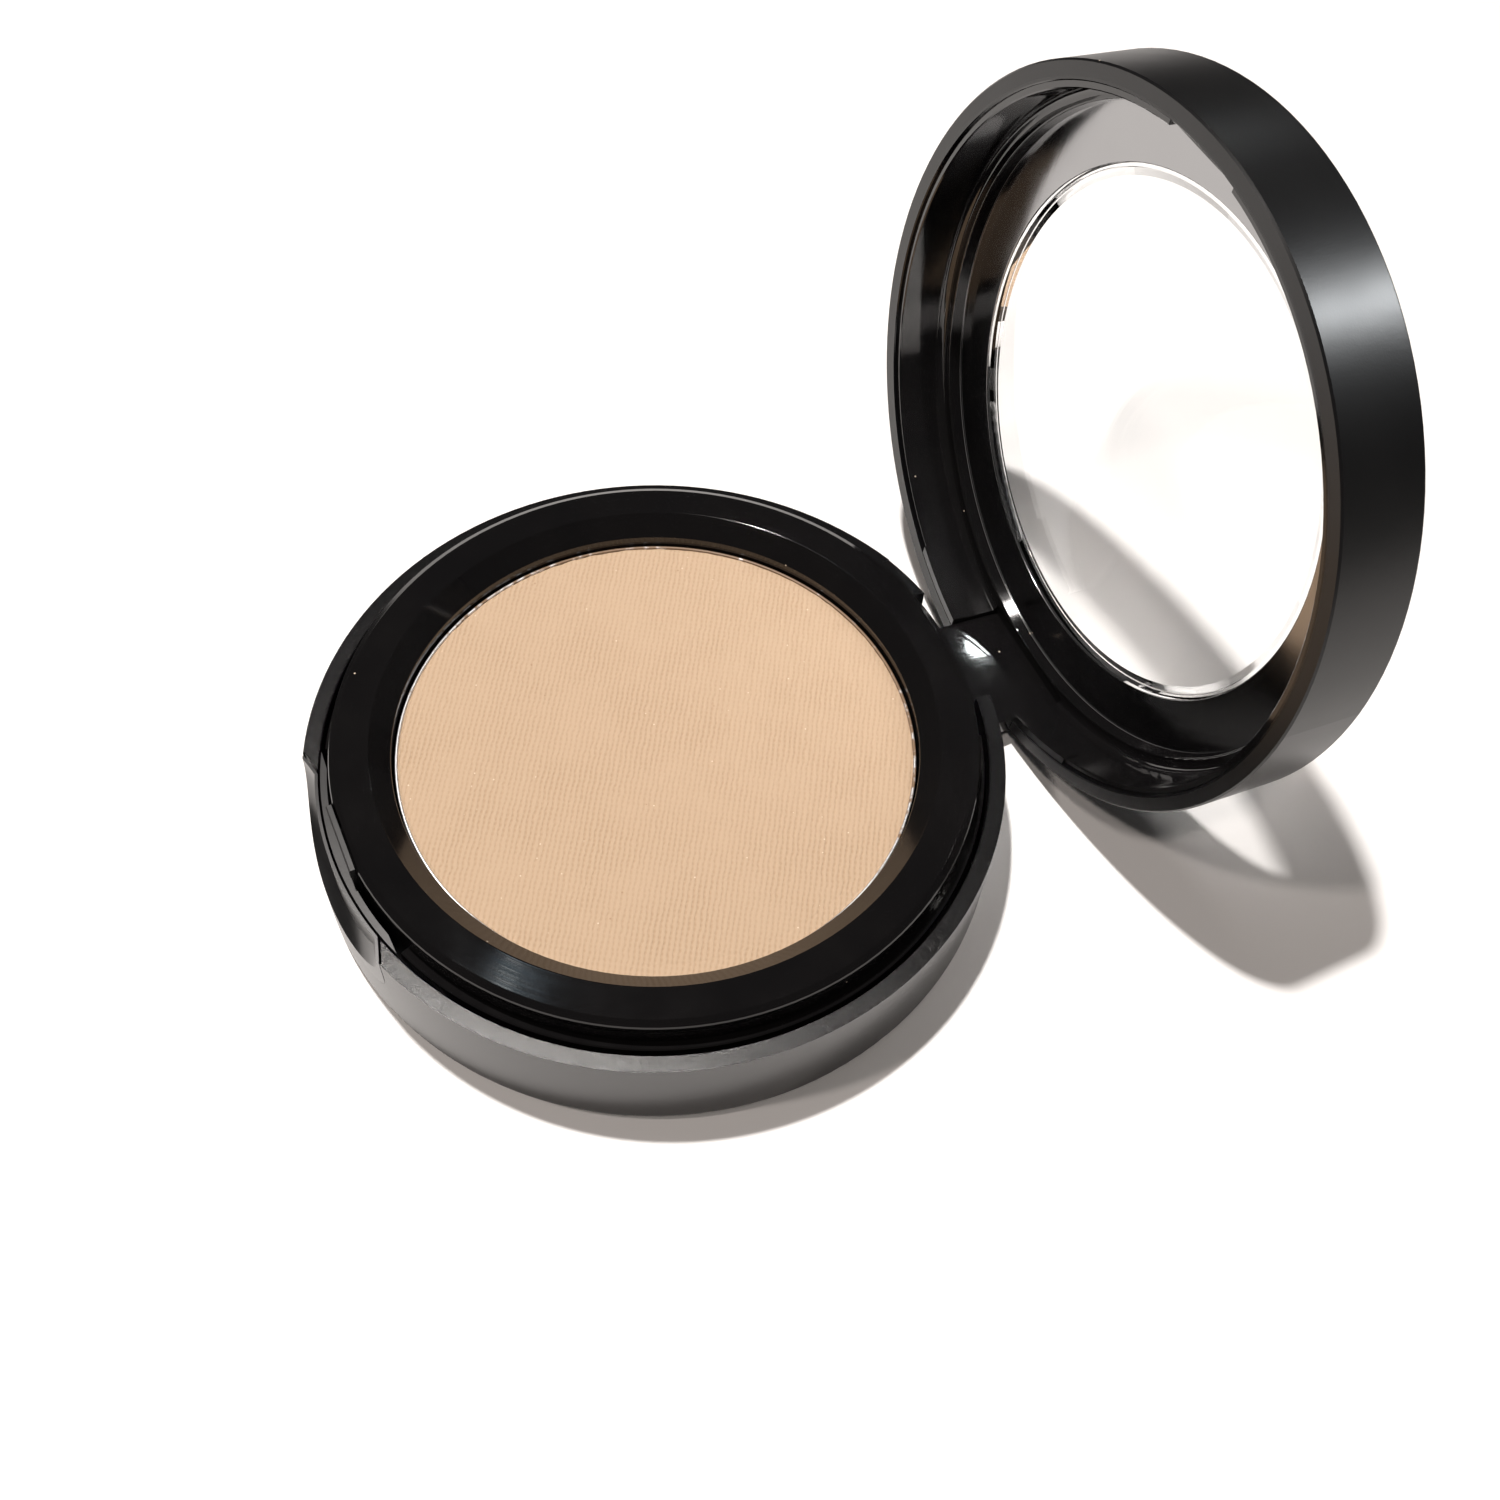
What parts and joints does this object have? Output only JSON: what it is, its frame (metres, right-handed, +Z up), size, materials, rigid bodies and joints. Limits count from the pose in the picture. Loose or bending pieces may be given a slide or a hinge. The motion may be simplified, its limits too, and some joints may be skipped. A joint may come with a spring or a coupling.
{
  "type": "powder compact",
  "caption": "Round pressed-powder compact with a clear-windowed lid standing open on its back hinge, and a thumb scoop at the front.",
  "frame": {"origin": "centre of the base's flat underside", "axes": "+Z up out of the powder, hinge at +Y, thumb scoop at -Y"},
  "size_m": [0.072, 0.0928, 0.0726],
  "materials": {
    "base_shell": "fine satin black, sparkle-textured ledge",
    "thumb_scoop": "satin black",
    "catch_strip": "textured black",
    "base_insert": "polished black",
    "pan_adhesive": "white adhesive foam",
    "powder_pan": "stamped bright aluminium",
    "pressed_powder": "beige pressed powder with a fine cloth print",
    "hinge_pin": "drawn wire",
    "lid_shell": "fine satin black",
    "lid_liner": "polished black",
    "lid_hinge_arm": "polished black",
    "lid_window": "clear moulded plastic, bevelled inner edge"
  },
  "bodies": {
    "base": {"base_shell": "base_shell", "thumb_scoop": "thumb_scoop", "catch_strip": "catch_strip", "base_insert": "base_insert", "pan_adhesive": "pan_adhesive", "powder_pan": "powder_pan", "pressed_powder": "pressed_powder", "hinge_pin": "hinge_pin"},
    "lid": {"lid_shell": "lid_shell", "lid_liner": "lid_liner", "lid_hinge_arm": "lid_hinge_arm", "lid_window": "lid_window"}
  },
  "joints": [
    {"name": "lid_hinge", "type": "hinge", "parent": "base", "child": "lid", "pos_m": [0, 0.0329, 0.0051], "axis": [-1, 0, 0], "range_deg": [-96.9, 0]}
  ]
}
